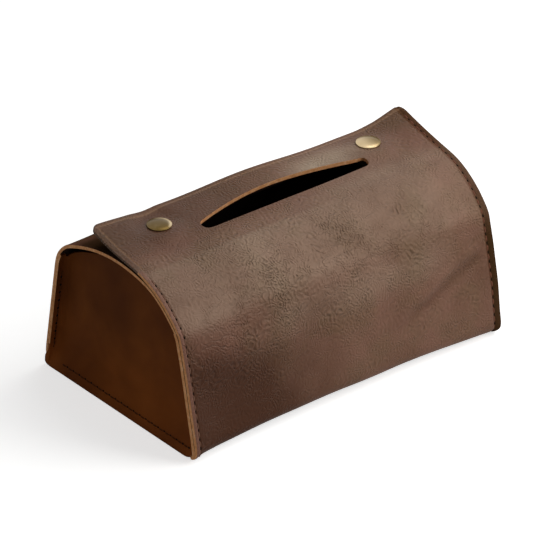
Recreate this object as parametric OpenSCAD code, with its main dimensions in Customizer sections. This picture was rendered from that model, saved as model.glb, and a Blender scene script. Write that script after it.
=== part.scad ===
/* [Cover] */
// Length of the cover between its two open rims
cover_length = 240; // [200:1:280]
// Depth of the cover on the table, front wall to back wall
base_depth = 152; // [135:1:180]
// Thickness of the leather of the long wrap
wrap_t = 2.8; // [2.4:0.1:3.6]
// Air left between two layers of leather that are sewn together
layer_gap = 0.3; // [0.2:0.05:0.5]

/* [Front wall and shoulder] */
// How far the front wall leans back from upright, in degrees
front_lean = 11.5; // [6:0.5:16]
// Height where the straight front wall ends and the shoulder fold begins
front_wall_h = 76.5; // [66:0.5:84]
// Outer radius of the fold between the front wall and the shoulder
shoulder_fold_r = 14; // [10:0.5:18]
// Slope of the leather above the shoulder fold, in degrees
shoulder_slope = 50; // [44:1:54]
// Outer radius of the lower half of the shoulder
shoulder_low_r = 85; // [70:1:95]
// Slope of the leather halfway over the shoulder, in degrees
shoulder_mid_slope = 32; // [28:1:36]
// Outer radius of the upper half of the shoulder
shoulder_top_r = 50; // [42:1:60]
// Radius left inside the sewn layers of the fold along the foot of the front wall
front_fold_in_r = 1; // [0.6:0.1:4]

/* [Back wall and rear lip] */
// How far the back wall leans forward from upright, in degrees
back_lean = 10; // [6:0.5:14]
// Height where the straight back wall ends and the top curl begins
back_wall_h = 78; // [70:0.5:84]
// Outer radius of the curl at the top of the back wall
curl_r = 24; // [18:0.5:28]
// Turn of the curl from the back wall to the top, in degrees
curl_turn = 57; // [50:1:64]
// Radius left inside the sewn layers of the fold along the foot of the back wall
back_fold_in_r = 2; // [0.6:0.1:4]

/* [Loading window] */
// Width of each side arm of the rear lip, from the rim to the window
arm_w = 18; // [12:0.5:24]
// Distance from the front of the cover to the part of the rear lip that holds the studs
stud_edge_y = 76; // [72:0.5:78]
// Leather left in the rear lip between the base of a stud and the bay under the tissue slot
bay_land = 9.5; // [4:0.5:14]
// Distance from the front of the cover to the rear edge of the bay
bay_edge_y = 96; // [90:0.5:102]
// Radius of the rear corners of the window and of its bay
window_r = 9; // [5:0.5:12]

/* [Flap] */
// Slope of the flap at the two ends of the cover, in degrees
flap_slope = 12; // [8:0.5:15]
// Length of the flap from its hinge line to its free edge
flap_reach = 48.7; // [44:0.1:54]
// Radius of the two free corners of the flap
flap_corner_r = 6; // [3:0.5:10]
// How far the free edge is drawn down between the corners and the snaps
flap_dip = 4; // [0:0.1:6]
// How far the middle of the free edge stands above the dips
flap_crown = 2.2; // [0:0.1:4]
// Width of the cut that parts the flap from the shoulder at the hinge line
hinge_gap = 0.3; // [0.2:0.05:0.6]

/* [Tissue slot] */
// Leather left in the flap between the rim of a snap cap and the end of the tissue slot
slot_land = 10.5; // [6:0.5:24]
// Distance from the front of the cover to the straight front edge of the slot
slot_front_y = 68.3; // [66:0.1:70]
// Height of the slot at its two rounded ends
slot_end_w = 8.6; // [6:0.1:10]
// How far the rear edge of the slot bows back in the middle
slot_bow = 8.6; // [3:0.1:10]

/* [End panels] */
// Thickness of the leather of the end panels
panel_t = 2.8; // [2.4:0.1:3.6]
// How far the face of an end panel lies inside the rim
panel_recess = 6.5; // [5:0.1:9]
// Height over which the foot of an end panel kicks out to the rim
kick_h = 17; // [12:0.5:24]
// Inset of the foot of an end panel from the rim
foot_inset = 0.6; // [0.3:0.1:2]
// Air between the top edge of an end panel and the leather above it
panel_top_gap = 3.7; // [2:0.1:8]
// Radius of the bend between an end panel and its sewn flanges
flange_bend_r = 3; // [2:0.5:5]
// Height of the tab of the bottom that is turned up inside an end panel
tab_h = 9; // [6:0.5:12]

/* [Snaps] */
// Distance of each snap from the end of the cover
snap_inset = 38.5; // [30:0.5:50]
// Distance of the snaps from the front of the cover
snap_y = 85.8; // [84:0.1:88]
// Diameter of the domed cap
cap_d = 16; // [14:0.5:18]
// Height of the domed cap over the leather
cap_h = 2.1; // [1.4:0.1:3]
// Radius of the flat seat that each cap presses into the flap
seat_r = 14; // [12:0.5:15]
// Radius at which the dimple round a seat has run out into the flap
dimple_r = 27; // [24:0.5:32]
// Diameter of the socket under the flap
socket_d = 11.6; // [10:0.2:13]
// Height of the socket
socket_h = 3; // [2.8:0.1:3.5]
// Thickness of the top plate of the socket
socket_plate = 0.6; // [0.4:0.1:0.8]
// Diameter of the round knob of the stud
knob_d = 5.6; // [5:0.1:6]
// Air round the knob in the socket
knob_clearance = 0.45; // [0.3:0.05:0.6]
// Diameter of the wire of the ring spring in the socket
spring_wire_d = 0.7; // [0.5:0.05:0.8]
// Diameter of the base of the stud
stud_base_d = 10; // [9:0.2:11]
// Thickness of the base of the stud
stud_base_t = 0.5; // [0.4:0.1:0.8]
// Diameter of the hollow rivets that pass through the leather
rivet_d = 3.6; // [3:0.1:4]
// Wall of the hollow rivets
rivet_wall = 0.5; // [0.4:0.05:0.8]
// Diameter of the head of the rivet under the rear lip
rivet_head_d = 9; // [8:0.2:10]
// Thickness of the head of the rivet under the rear lip
rivet_head_t = 0.7; // [0.5:0.1:1]
// Air round a rivet in its hole through the leather
rivet_clearance = 0.15; // [0.1:0.05:0.3]

/* [Hidden] */
$fn = 64;

half_l = cover_length / 2;
sheet_step = wrap_t + layer_gap;
snap_x = half_l - snap_inset;
slot_length = 2 * (snap_x - cap_d / 2 - slot_land);
bay_length = 2 * (snap_x - stud_base_d / 2 - bay_land);

// Overrun of every cut past the face that it opens
cut = 1;
// Angle of one facet of a bend, in degrees
bend_step = 6;

// Colours as the leather and the fittings show them
outer_brown = "#5a4036";
panel_brown = "#4a2713";
antique_brass = "#8a7a5a";
plain_steel = "#9a9a98";

// A section point is [y, z, inward y, inward z], with y from the front and z up
function turn(a) = [cos(a), sin(a)];
function on_arc(centre, r, a) = let (n = turn(a)) [centre.x + r * n.x, centre.y + r * n.y, -n.x, -n.y];
function arc(centre, r, a0, a1) =
    let (steps = ceil(abs(a1 - a0) / bend_step))
    [for (i = [0:steps]) on_arc(centre, r, a0 + (a1 - a0) * i / steps)];
function back_from(p, r, a) = [p[0], p[1]] - r * turn(a);
function sunk(points, depth) = [for (p = points) [p[0] + depth * p[2], p[1] + depth * p[3]]];
function flip(points) = [for (i = [len(points) - 1:-1:0]) points[i]];
function last(points) = points[len(points) - 1];

// Outward directions of the leather along the section, in degrees
front_out = 180 - front_lean;
shoulder_out = 90 + shoulder_slope;
mid_out = 90 + shoulder_mid_slope;
hinge_out = 90 + flap_slope;
floor_out = 270;
back_out = 360 + back_lean;
curl_out = back_lean + curl_turn;

// Outer radii of the two folds at the feet of the walls, round the wrap and the flange
front_fold_r = front_fold_in_r + sheet_step + panel_t;
back_fold_r = back_fold_in_r + sheet_step + panel_t;

// Foot of the front wall: a fold that touches the leaning wall and the table
front_fold_c = [front_fold_r * (1 / cos(front_lean) + tan(front_lean)), front_fold_r];
front_foot = arc(front_fold_c, front_fold_r, front_out, floor_out);

// Shoulder: three arcs, each tangent to the one before it
wall_top = [front_wall_h * tan(front_lean), front_wall_h];
fold_c = back_from(wall_top, shoulder_fold_r, front_out);
fold_end = on_arc(fold_c, shoulder_fold_r, shoulder_out);
low_c = back_from(fold_end, shoulder_low_r, shoulder_out);
low_end = on_arc(low_c, shoulder_low_r, mid_out);
top_c = back_from(low_end, shoulder_top_r, mid_out);
hinge_p = on_arc(top_c, shoulder_top_r, hinge_out);
fold_arc = arc(fold_c, shoulder_fold_r, front_out, shoulder_out);
low_arc = arc(low_c, shoulder_low_r, shoulder_out, mid_out);
top_arc = arc(top_c, shoulder_top_r, mid_out, hinge_out);
shoulder = concat(fold_arc, low_arc, top_arc);

// Foot of the back wall and the curl at its top
back_fold_c = [base_depth - back_fold_r * (1 / cos(back_lean) + tan(back_lean)), back_fold_r];
// Middle of the real depth, between the outermost faces of the two folds
mid_y = (front_fold_c.x - front_fold_r + back_fold_c.x + back_fold_r) / 2;
back_foot = arc(back_fold_c, back_fold_r, floor_out, back_out);
back_top = [base_depth - back_wall_h * tan(back_lean), back_wall_h];
curl_c = back_from(back_top, curl_r, back_lean);
curl = arc(curl_c, curl_r, back_lean, curl_out);
curl_end = last(curl);

// Dome of the rear lip: a smooth curve from the curl to the layer under the hinge line
under_hinge = sunk([hinge_p], sheet_step)[0];
dome_pull_share = 0.36;
dome_steps = 14;
dome_span = norm(under_hinge - [curl_end[0], curl_end[1]]);
dome_a = [curl_end[0], curl_end[1]];
dome_b = dome_a + dome_span * dome_pull_share * turn(curl_out + 90);
dome_c = under_hinge - dome_span * dome_pull_share * turn(hinge_out + 90);
function bezier(t) =
    pow(1 - t, 3) * dome_a + 3 * pow(1 - t, 2) * t * dome_b
    + 3 * (1 - t) * t * t * dome_c + pow(t, 3) * under_hinge;
function bezier_run(t) =
    3 * pow(1 - t, 2) * (dome_b - dome_a) + 6 * (1 - t) * t * (dome_c - dome_b)
    + 3 * t * t * (under_hinge - dome_c);
function dome_point(t) =
    let (p = bezier(t), d = bezier_run(t), n = norm(d))
    [p.x, p.y, -d.y / n, d.x / n];
dome = [for (i = [0:dome_steps]) dome_point(i / dome_steps)];

// The layer of the lip that lies under the shoulder, down to the shoulder fold
under_shoulder = [
    for (p = flip(concat(low_arc, top_arc)))
        [p[0] + sheet_step * p[2], p[1] + sheet_step * p[3], p[2], p[3]]
];

// Outer surface of the long wrap from the hinge line round to the end of the curl
wrap_line = concat(flip(shoulder), front_foot, back_foot, curl);
lip_line = concat(dome, under_shoulder);

// Height of the rear lip's outer surface at a distance y from the front
lip_heights = [for (p = flip(dome)) [p[0], p[1]]];
function lip_z(y) = lookup(y, lip_heights);

// Lays a section, drawn with y from the front and z up, along the length of the cover
module along_cover(x0, x1) {
    translate([x0, -mid_y, 0])
        rotate([90, 0, 90])
            linear_extrude(height = x1 - x0)
                children();
}

// Lays a section, drawn with x in from the left rim and z up, from y0 to y1
module along_left_rim(y0, y1) {
    translate([-half_l, y1 - mid_y, 0])
        rotate([90, 0, 0])
            linear_extrude(height = y1 - y0)
                children();
}

// Stands a plan, drawn with y from the front, up between two heights
module up_from(z0, z1) {
    translate([0, -mid_y, z0])
        linear_extrude(height = z1 - z0)
            children();
}

module sheet_outline(line, t) {
    polygon(concat(sunk(line, 0), flip(sunk(line, t))));
}

// Plan of a cut that is open to the front and has rounded rear corners
module round_bay(w, edge_y) {
    hull() {
        for (side = [-1, 1])
            translate([side * (w / 2 - window_r), edge_y - window_r])
                circle(window_r);
        translate([-w / 2, 0])
            square([w, cut]);
    }
}

module window_plan() {
    round_bay(cover_length - 2 * arm_w, stud_edge_y);
    round_bay(bay_length, bay_edge_y);
}

// Distance of the face of an end panel from the rim: its foot kicks out to the table
kick_steps = 8;
function panel_x(z) =
    z >= kick_h
        ? panel_recess
        : foot_inset + (panel_recess - foot_inset) * (1 - cos(180 * z / kick_h)) / 2;
panel_heights = [for (i = [0:kick_steps]) kick_h * i / kick_steps];

// Ends of the flat bottom between the two folds, where its tab turns up inside an end panel
tab_land = 1;
floor_y0 = front_fold_c.x + tab_land;
floor_y1 = back_fold_c.x - tab_land;
tab_face = [
    for (i = [0:kick_steps])
        let (z = tab_h * i / kick_steps)
        [panel_x(z) + panel_t + layer_gap, z]
];
tab_back = [for (p = tab_face) [p.x + wrap_t, p.y]];

module left_tab() {
    difference() {
        children();
        along_left_rim(floor_y0, floor_y1)
            polygon(concat([[-cut, tab_h], [-cut, -cut], [tab_face[0].x, -cut]], tab_face));
    }
    along_left_rim(floor_y0, floor_y1)
        polygon(concat(tab_face, flip(tab_back)));
}

module wrap() {
    color(outer_brown)
        difference() {
            union() {
                mirror([1, 0, 0])
                    left_tab()
                        mirror([1, 0, 0])
                            left_tab()
                                along_cover(-half_l, half_l)
                                    sheet_outline(wrap_line, wrap_t);
                difference() {
                    along_cover(-half_l, half_l)
                        sheet_outline(lip_line, wrap_t);
                    up_from(0, 2 * front_wall_h)
                        window_plan();
                }
            }
            at_snaps(lip_seat_z)
                rivet_hole();
        }
}

// Outline that an end panel fills, inside the wrap and under the rear lip
module panel_outline() {
    top_edge = sunk(lip_line, wrap_t + panel_top_gap);
    rear_end = top_edge[0] + 2 * curl_r * turn(curl_out - 90);
    intersection() {
        polygon(concat(sunk(wrap_line, sheet_step), sunk(dome, wrap_t)));
        polygon(concat(
            [[rear_end.x, 0], rear_end],
            top_edge,
            [[0, last(top_edge).y], [0, 0]]
        ));
    }
    translate([floor_y0 + layer_gap, 0])
        square([floor_y1 - floor_y0 - 2 * layer_gap, sheet_step + cut]);
}

// The flanges of an end panel lie against the front wall and the back wall, up to one height
flange_rise = 1.5;
flange_top_z = front_wall_h + flange_rise;
// Height at which the bends beside the flanges stop, where both walls are still straight
bend_notch = 2.5;
bend_top_z = front_wall_h - bend_notch;
function front_wall_at(z) = [z * tan(front_lean), z, cos(front_lean), -sin(front_lean)];
function back_wall_at(z) = [base_depth - z * tan(back_lean), z, -cos(back_lean), -sin(back_lean)];
function front_flange_at(z) = sunk([front_wall_at(z)], sheet_step + panel_t)[0];
function back_flange_at(z) = sunk([back_wall_at(z)], sheet_step + panel_t)[0];

// Outline of the recess between the flanges, open down to the table between the two folds
module recess_outline() {
    polygon(concat(sunk(wrap_line, sheet_step + panel_t), sunk(dome, 0)));
    translate([floor_y0 - layer_gap, -cut])
        square([floor_y1 - floor_y0 + 2 * layer_gap, sheet_step + panel_t + 2 * cut]);
}

// Bar that fills the bend between the face and a flange, from foot to top, with blunt edges
bend_steps = 4;
blunt = 0.2;
module bend_bar(foot, top) {
    run = top - foot;
    lean = atan2(run.x, run.y);
    side = lean > 0 ? 1 : -1;
    translate([-half_l + panel_recess, foot.x - mid_y, foot.y])
        rotate([-lean, 0, 0])
            linear_extrude(height = norm(run))
                polygon(concat(
                    [[cut, -side * cut], [cut, side * (flange_bend_r + blunt)]],
                    [
                        for (i = [bend_steps:-1:0])
                            let (a = 90 * i / bend_steps)
                            [
                                flange_bend_r * (sin(a) - 1) - blunt,
                                side * (flange_bend_r * (1 - cos(a)) + blunt)
                            ]
                    ],
                    [[-flange_bend_r - blunt, -side * cut]]
                ));
}

module end_panel() {
    faces = [for (i = [kick_steps:-1:0]) [panel_x(panel_heights[i]), panel_heights[i]]];
    backs = [for (p = faces) [p.x + panel_t, p.y]];
    above = 2 * front_wall_h;
    color(panel_brown) {
        difference() {
            intersection() {
                along_cover(-half_l, half_l)
                    panel_outline();
                along_left_rim(-cut, base_depth + cut)
                    polygon(concat([[0, -cut], [0, above], [panel_recess + panel_t, above]], backs,
                        [[last(backs).x, -cut]]));
            }
            intersection() {
                along_cover(-half_l - cut, half_l)
                    recess_outline();
                along_left_rim(-cut, base_depth + cut)
                    polygon(concat([[-cut, -cut], [-cut, above], [panel_recess, above]], faces,
                        [[last(faces).x, -cut]]));
            }
            translate([-half_l - cut, -base_depth, flange_top_z])
                cube([panel_recess + cut, 2 * base_depth, front_wall_h]);
        }
        bend_bar(front_flange_at(kick_h + cut), front_flange_at(bend_top_z));
        bend_bar(back_flange_at(kick_h + cut), back_flange_at(bend_top_z));
    }
}

module left_end_panel() {
    end_panel();
}

module right_end_panel() {
    mirror([1, 0, 0])
        end_panel();
}

// Heights that the snaps are built up from
knob_r = knob_d / 2;
socket_bore_r = knob_r + knob_clearance;
socket_air = 0.3;
knob_air = 0.4;
knob_h = socket_h - socket_plate - knob_air;
fit_air = 0.05;
base_r = stud_base_d / 2;
lip_seat_z = fit_air + max([for (dy = [-base_r, 0, base_r]) lip_z(snap_y + dy)]);
socket_foot_z = lip_seat_z + stud_base_t + socket_air;
flap_under_z = socket_foot_z + socket_h;
flap_drop = wrap_t * cos(flap_slope);
flap_seat_z = flap_under_z + flap_drop;
rivet_head_z = min([for (dy = [-base_r, base_r]) lip_z(snap_y + dy)]) - wrap_t - fit_air;

module at_snaps(z) {
    for (side = [-1, 1])
        at_snap(side, z)
            children();
}

module at_snap(side, z) {
    translate([side * snap_x, snap_y - mid_y, z])
        children();
}

module rivet_hole() {
    translate([0, 0, -2 * wrap_t])
        cylinder(r = rivet_d / 2 + rivet_clearance, h = 4 * wrap_t);
}

// Drape of the flap: a plane that rises from the hinge line, drawn down between its
// corners and crowned in the middle, with a flat seat pressed in by each cap
flap_columns = 60;
flap_rows = 14;
drape_power_share = 2.5;

function smooth(t) = let (c = min(1, max(0, t))) c * c * (3 - 2 * c);
function flap_half_w(s) =
    let (past = max(0, s - flap_reach + flap_corner_r))
    half_l - flap_corner_r + sqrt(max(0, flap_corner_r * flap_corner_r - past * past));
function drape(x, s) =
    let (
        dip = flap_dip * smooth((half_l - abs(x)) / snap_inset),
        crown = flap_crown * (1 + cos(180 * min(1, abs(x) / snap_x))) / 2
    )
    (crown - dip) * pow(s / flap_reach, drape_power_share);
function flap_y(s) = hinge_p[0] + s * cos(flap_slope);
function flap_z(x, s) =
    let (
        z = hinge_p[1] + s * sin(flap_slope) + drape(x, s),
        from_seat = norm([abs(x) - snap_x, flap_y(s) - snap_y])
    )
    z + (flap_seat_z - z) * smooth((dimple_r - from_seat) / (dimple_r - seat_r));
function flap_point(column, row, depth) =
    let (
        s = hinge_gap + (flap_reach - hinge_gap) * row / flap_rows,
        x = (2 * column / flap_columns - 1) * flap_half_w(s)
    )
    [
        x,
        flap_y(s) + depth * sin(flap_slope) - mid_y,
        flap_z(x, s) - depth * cos(flap_slope)
    ];

module flap_sheet() {
    per_row = flap_columns + 1;
    per_side = per_row * (flap_rows + 1);
    points = [
        for (depth = [0, wrap_t], row = [0:flap_rows], column = [0:flap_columns])
            flap_point(column, row, depth)
    ];
    top = [
        for (row = [0:flap_rows - 1], column = [0:flap_columns - 1])
            let (a = row * per_row + column)
            each [[a, a + per_row, a + per_row + 1], [a, a + per_row + 1, a + 1]]
    ];
    under = [for (f = top) [f[0] + per_side, f[2] + per_side, f[1] + per_side]];
    rim = concat(
        [for (column = [0:flap_columns - 1]) column],
        [for (row = [0:flap_rows - 1]) row * per_row + flap_columns],
        [for (column = [flap_columns:-1:1]) flap_rows * per_row + column],
        [for (row = [flap_rows:-1:1]) row * per_row]
    );
    walls = [
        for (i = [0:len(rim) - 1])
            let (a = rim[i], b = rim[(i + 1) % len(rim)])
            each [[a, b, b + per_side], [a, b + per_side, a + per_side]]
    ];
    polyhedron(points = points, faces = concat(top, under, walls), convexity = 6);
}

// Plan of the tissue slot: straight in front, rounded ends and a bowed rear edge
bow_steps = 24;
module slot_plan() {
    end_r = slot_end_w / 2;
    reach = slot_length / 2 - end_r;
    hull() {
        for (side = [-1, 1])
            translate([side * reach, slot_front_y + end_r])
                circle(end_r);
        polygon([
            for (i = [0:bow_steps])
                let (share = 2 * i / bow_steps - 1)
                [share * reach, slot_front_y + slot_end_w + slot_bow * (1 - share * share)]
        ]);
    }
}

module flap() {
    color(outer_brown)
        difference() {
            flap_sheet();
            up_from(front_wall_h, 2 * front_wall_h)
                slot_plan();
            at_snaps(flap_seat_z)
                rivet_hole();
        }
}

// Domed cap with a rolled rim and the hollow rivet that holds the socket
module snap_cap() {
    rim_r = cap_h / 4;
    rise = cap_h - rim_r;
    dome_r = (cap_d * cap_d / 4 + rise * rise) / (2 * rise);
    color(antique_brass)
        rotate_extrude() {
            intersection() {
                translate([0, cap_h - dome_r])
                    circle(dome_r, $fn = 4 * $fn);
                square([cap_d / 2 - rim_r, cap_h]);
            }
            translate([cap_d / 2 - rim_r, rim_r])
                circle(rim_r);
            square([cap_d / 2 - rim_r, rim_r]);
            translate([rivet_d / 2 - rivet_wall, -flap_drop - socket_plate])
                square([rivet_wall, flap_drop + socket_plate + rim_r]);
        }
}

// Socket: a round box that is open below, with a groove for its spring
module snap_socket() {
    groove_r = socket_bore_r + spring_wire_d + fit_air;
    groove_h = spring_wire_d + 2 * fit_air;
    color(antique_brass)
        rotate_extrude()
            difference() {
                square([socket_d / 2, socket_h]);
                translate([-cut, -cut])
                    square([socket_bore_r + cut, socket_h - socket_plate + cut]);
                translate([-cut, 0])
                    square([rivet_d / 2 + fit_air + cut, socket_h + cut]);
                translate([0, (knob_h - groove_h) / 2])
                    square([groove_r, groove_h]);
            }
}

// Ring spring with the gap that lets it open round the knob
spring_gap = 40;
module snap_spring() {
    color(plain_steel)
        translate([0, 0, knob_h / 2])
            rotate([0, 0, 90 + spring_gap / 2])
                rotate_extrude(angle = 360 - spring_gap)
                    translate([socket_bore_r + spring_wire_d / 2, 0])
                        circle(spring_wire_d / 2);
}

// Stud: a thin base and a hollow knob with a waist under its round top
module snap_stud() {
    waist_r = knob_r - knob_clearance;
    top_r = knob_h / 3;
    rise = stud_base_t + socket_air;
    color(antique_brass)
        rotate_extrude()
            difference() {
                union() {
                    square([stud_base_d / 2, stud_base_t]);
                    square([waist_r, rise + knob_h]);
                    translate([0, rise + knob_h - 2 * top_r])
                        square([knob_r - top_r, 2 * top_r]);
                    translate([knob_r - top_r, rise + knob_h - top_r])
                        circle(top_r);
                }
                translate([-cut, -cut])
                    square([rivet_d / 2 + fit_air + cut, rise + knob_h + 2 * cut]);
            }
}

// Hollow rivet that goes up through the rear lip into the stud
module snap_rivet() {
    tube_h = lip_seat_z + stud_base_t + socket_air + knob_h - rivet_head_z;
    color(antique_brass)
        rotate_extrude() {
            translate([rivet_d / 2 - rivet_wall, 0])
                square([rivet_wall, tube_h]);
            translate([rivet_d / 2 - rivet_wall, -rivet_head_t])
                square([(rivet_head_d - rivet_d) / 2 + rivet_wall, rivet_head_t]);
        }
}

module left_snap_cap() at_snap(-1, flap_seat_z) snap_cap();
module left_snap_socket() at_snap(-1, socket_foot_z) snap_socket();
module left_snap_spring() at_snap(-1, socket_foot_z) snap_spring();
module left_snap_stud() at_snap(-1, lip_seat_z) snap_stud();
module left_snap_rivet() at_snap(-1, rivet_head_z) snap_rivet();
module right_snap_cap() at_snap(1, flap_seat_z) snap_cap();
module right_snap_socket() at_snap(1, socket_foot_z) snap_socket();
module right_snap_spring() at_snap(1, socket_foot_z) snap_spring();
module right_snap_stud() at_snap(1, lip_seat_z) snap_stud();
module right_snap_rivet() at_snap(1, rivet_head_z) snap_rivet();

wrap();
flap();
left_end_panel();
right_end_panel();
left_snap_cap();
left_snap_socket();
left_snap_spring();
left_snap_stud();
left_snap_rivet();
right_snap_cap();
right_snap_socket();
right_snap_spring();
right_snap_stud();
right_snap_rivet();
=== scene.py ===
import math

import bmesh
import bpy
from mathutils import Euler, Matrix, Vector, noise


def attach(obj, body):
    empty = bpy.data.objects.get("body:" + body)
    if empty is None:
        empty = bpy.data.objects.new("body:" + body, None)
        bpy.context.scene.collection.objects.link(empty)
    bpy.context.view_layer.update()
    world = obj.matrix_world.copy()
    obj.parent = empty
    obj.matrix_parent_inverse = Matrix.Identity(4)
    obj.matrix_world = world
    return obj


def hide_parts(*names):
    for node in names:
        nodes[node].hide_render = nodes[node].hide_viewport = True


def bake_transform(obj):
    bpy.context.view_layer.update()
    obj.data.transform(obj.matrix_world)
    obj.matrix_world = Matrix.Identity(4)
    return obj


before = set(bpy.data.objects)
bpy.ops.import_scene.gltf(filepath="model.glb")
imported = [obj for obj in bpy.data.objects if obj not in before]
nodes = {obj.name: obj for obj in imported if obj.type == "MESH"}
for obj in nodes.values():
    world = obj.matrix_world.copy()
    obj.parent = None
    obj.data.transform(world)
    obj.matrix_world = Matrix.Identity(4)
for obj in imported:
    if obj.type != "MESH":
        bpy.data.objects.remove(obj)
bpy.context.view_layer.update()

# Everything is worked out in millimetres, with y from the front and z up, and placed at the end
MM = 0.001
SIDES = (-1, "left"), (1, "right")
# The materials of a piece of leather; only the front has a fourth, the copy without gloss painted on its
# right margin as shade
GRAIN_SIDE, FLESH_SIDE, EDGE, SHADED_GRAIN = range(4)

# Sizes of the cover, as its solids have them
HALF_LENGTH = 120.0
BASE_DEPTH = 152.0
LEATHER = 2.8
LAYER_GAP = 0.3
LAYER_STEP = LEATHER + LAYER_GAP
FLANGE_DEPTH = LAYER_STEP + LEATHER
FRONT_LEAN = 11.5
FRONT_WALL_H = 76.5
SHOULDER_FOLD_R = 14.0
SHOULDER_SLOPE = 50.0
SHOULDER_LOW_R = 85.0
SHOULDER_MID_SLOPE = 32.0
SHOULDER_TOP_R = 50.0
BACK_LEAN = 10.0
BACK_WALL_H = 78.0
CURL_R = 24.0
CURL_TURN = 57.0
FRONT_FOLD_R = FLANGE_DEPTH + 1.0
BACK_FOLD_R = FLANGE_DEPTH + 2.0
FLAP_SLOPE = 12.0
FLAP_REACH = 48.7
FLAP_CORNER_R = 6.0
ARM_WIDTH = 18.0
STUD_EDGE_Y = 76.0
BAY_HALF = 70.5
BAY_EDGE_Y = 96.0
SNAP_X = 81.5
SNAP_Y = 85.8
CAP_R = 7.8
CAP_H = 1.8
CAP_RIM = 0.55
SEAT_R = 9.5
DIMPLE_R = 20.0
SLOT_FRONT_Y = 68.3
SLOT_END_R = 4.4
SLOT_REACH = 60.1
SLOT_BOW = 8.8
PANEL_RECESS = 6.5
KICK_H = 17.0
FOOT_INSET = -0.3
PANEL_TOP_GAP = 3.7
BEND_R = 3.0
FLANGE_TOP_Z = 80.0
BACK_FLANGE_TOP_Z = 84.0
TAB_H = 9.0
STITCH_PITCH = 6.0
LEFT_SEAM_INSET = 3.0
RIGHT_SEAM_INSET = 5.6
FLANGE_SEAM_INSET = 3.4
SEWN_GAP = 0.01
BACK_SHARE = 0.76
BACK_FLANGE_SHARE = 0.5
EASE_START_Z = 30.0


# The section of the leather
def turn(degrees):
    """The unit direction at that angle, as (y, z)."""
    angle = math.radians(degrees)
    return Vector((math.cos(angle), math.sin(angle)))


def arc(centre, radius, start, end, step=2.0):
    """Stations round a fold: (point, outward direction)."""
    count = max(2, math.ceil(abs(end - start) / step))
    angles = [start + (end - start) * i / count for i in range(count + 1)]
    return [(centre + radius * turn(a), turn(a)) for a in angles]


class Section:
    """A line of leather seen from the end, measured along its outer surface."""

    def __init__(self, stations):
        self.points = [Vector(p) for p, _ in stations]
        self.outs = [Vector(o) for _, o in stations]
        self.runs = [0.0]
        for a, b in zip(self.points, self.points[1:]):
            self.runs.append(self.runs[-1] + (b - a).length)
        self.length = self.runs[-1]

    def at(self, run):
        """The point and the outward direction at a length along the section."""
        run = min(max(run, 0.0), self.length)
        for i in range(len(self.runs) - 1):
            if run <= self.runs[i + 1] and self.runs[i + 1] > self.runs[i]:
                share = (run - self.runs[i]) / (self.runs[i + 1] - self.runs[i])
                out = self.outs[i].lerp(self.outs[i + 1], share).normalized()
                return self.points[i].lerp(self.points[i + 1], share), out
        return self.points[-1], self.outs[-1]

    def run_where(self, test):
        """The first length along the section at which test(point) holds."""
        run = 0.0
        while run < self.length and not test(self.at(run)[0]):
            run += 0.1
        return run


def sunk(stations, depth):
    return [(p - depth * o, o) for p, o in stations]


def rise(degrees):
    """How far a wall that leans by that angle moves over per millimetre of height."""
    return math.tan(math.radians(degrees))


def fold_reach(radius, lean):
    """How far the centre of the fold at the foot lies from where the leaning wall meets the table."""
    return radius * (1 / math.cos(math.radians(lean)) + rise(lean))


front_fold_c = Vector((fold_reach(FRONT_FOLD_R, FRONT_LEAN), FRONT_FOLD_R))
back_fold_c = Vector((BASE_DEPTH - fold_reach(BACK_FOLD_R, BACK_LEAN), BACK_FOLD_R))
MID_Y = (front_fold_c.x - FRONT_FOLD_R + back_fold_c.x + BACK_FOLD_R) / 2

wall_top = Vector((FRONT_WALL_H * rise(FRONT_LEAN), FRONT_WALL_H))
fold_c = wall_top - SHOULDER_FOLD_R * turn(180 - FRONT_LEAN)
fold_arc = arc(fold_c, SHOULDER_FOLD_R, 180 - FRONT_LEAN, 90 + SHOULDER_SLOPE)
low_c = fold_arc[-1][0] - SHOULDER_LOW_R * turn(90 + SHOULDER_SLOPE)
low_arc = arc(low_c, SHOULDER_LOW_R, 90 + SHOULDER_SLOPE, 90 + SHOULDER_MID_SLOPE)
top_c = low_arc[-1][0] - SHOULDER_TOP_R * turn(90 + SHOULDER_MID_SLOPE)
top_arc = arc(top_c, SHOULDER_TOP_R, 90 + SHOULDER_MID_SLOPE, 90 + FLAP_SLOPE)
shoulder = fold_arc + low_arc[1:] + top_arc[1:]
hinge_p = Vector(shoulder[-1][0])
flap_run = turn(FLAP_SLOPE)

front_foot = arc(front_fold_c, FRONT_FOLD_R, 270, 180 - FRONT_LEAN)
free_edge = (hinge_p + FLAP_REACH * flap_run, turn(90 + FLAP_SLOPE))
front_line = Section(front_foot + shoulder + [free_edge])
FREE_RUN = front_line.length
HINGE_RUN = FREE_RUN - FLAP_REACH


def bezier_stations(a, b, c, d, count=40):
    """A smooth curve through a and d, pulled towards b and c."""
    stations = []
    for i in range(count + 1):
        t = i / count
        p = (1 - t) ** 3 * a + 3 * (1 - t) ** 2 * t * b + 3 * (1 - t) * t * t * c + t ** 3 * d
        run = 3 * (1 - t) ** 2 * (b - a) + 6 * (1 - t) * t * (c - b) + 3 * t * t * (d - c)
        stations.append((p, Vector((-run.y, run.x)).normalized()))
    return stations


def eased_stations():
    """At mid-length no end panel holds the front, and wall and shoulder are one soft bend."""
    a = Vector((EASE_START_Z * rise(FRONT_LEAN), EASE_START_Z))
    d = low_arc[-1][0]
    pull = 0.42 * (d - a).length
    return bezier_stations(a, a + pull * turn(90 - FRONT_LEAN), d - pull * turn(SHOULDER_MID_SLOPE), d)


soft_line = Section(front_foot + eased_stations() + top_arc[1:])

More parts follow.
